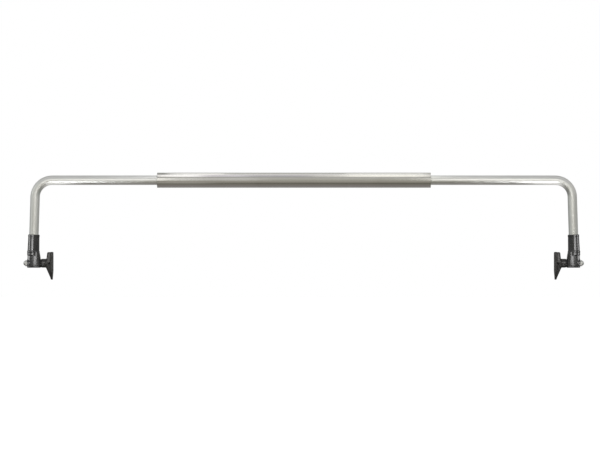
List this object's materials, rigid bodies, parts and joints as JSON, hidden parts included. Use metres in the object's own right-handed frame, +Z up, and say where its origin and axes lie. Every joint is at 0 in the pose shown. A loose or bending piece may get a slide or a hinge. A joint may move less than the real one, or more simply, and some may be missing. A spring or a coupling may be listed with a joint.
{
  "type": "telescoping swing-over bar",
  "caption": "Telescoping U-shaped overhead bar: thick grip tube, two bent tubes in pivoting elbows, and a screw-on side bracket at each end.",
  "frame": {"origin": "on the pivot axis, midway between the flat faces of the two side brackets", "axes": "+X along the bar to the right, +Y to the rear, +Z up, the legs standing upright at rest"},
  "size_m": [1.8984, 0.068, 0.3614],
  "materials": {
    "polished_steel": "polished stainless tube with a faint lengthwise grain",
    "satin_steel": "satin stainless tube",
    "gloss_black": "glossy moulded black",
    "black_casting": "semi-gloss black coated casting",
    "bright_fastener": "bright plain steel fastener",
    "grey_nylon": "grey nylon",
    "black_nylon": "black nylon"
  },
  "bodies": {
    "left_mount": {"left_bracket": "black_casting", "left_pivot_bolt": "bright_fastener", "left_thrust_washer": "black_nylon", "left_outer_washer": "bright_fastener", "left_cap_nut": "bright_fastener"},
    "left_arm": {"left_tube": "satin_steel", "left_guide_plug": "black_nylon", "left_elbow": "gloss_black", "left_elbow_screw": "bright_fastener", "left_inner_bush": "black_nylon", "left_outer_bush": "black_nylon"},
    "centre_bar": {"centre_tube": "polished_steel", "left_end_bush": "grey_nylon", "right_end_bush": "grey_nylon", "left_lock_screw": "bright_fastener", "right_lock_screw": "bright_fastener"},
    "right_arm": {"right_tube": "satin_steel", "right_guide_plug": "black_nylon", "right_elbow": "gloss_black", "right_elbow_screw": "bright_fastener", "right_inner_bush": "black_nylon", "right_outer_bush": "black_nylon"},
    "right_mount": {"right_bracket": "black_casting", "right_pivot_bolt": "bright_fastener", "right_thrust_washer": "black_nylon", "right_outer_washer": "bright_fastener", "right_cap_nut": "bright_fastener"}
  },
  "joints": [
    {"name": "left_pivot", "type": "hinge", "parent": "left_mount", "child": "left_arm", "pos_m": [-0.8945, 0, 0], "axis": [1, 0, 0], "range_deg": [-90, 90]},
    {"name": "left_slide", "type": "slide", "parent": "left_arm", "child": "centre_bar", "axis": [1, 0, 0], "range_m": [-0.055, 0.28]},
    {"name": "right_slide", "type": "slide", "parent": "centre_bar", "child": "right_arm", "axis": [1, 0, 0], "range_m": [-0.055, 0.28]},
    {"name": "right_pivot", "type": "hinge", "parent": "right_arm", "child": "right_mount", "pos_m": [0.8945, 0, 0], "axis": [1, 0, 0], "range_deg": [-90, 90]}
  ],
  "couplings": [
    {"joint": "right_pivot", "follows": "left_pivot", "ratio": -1}
  ]
}
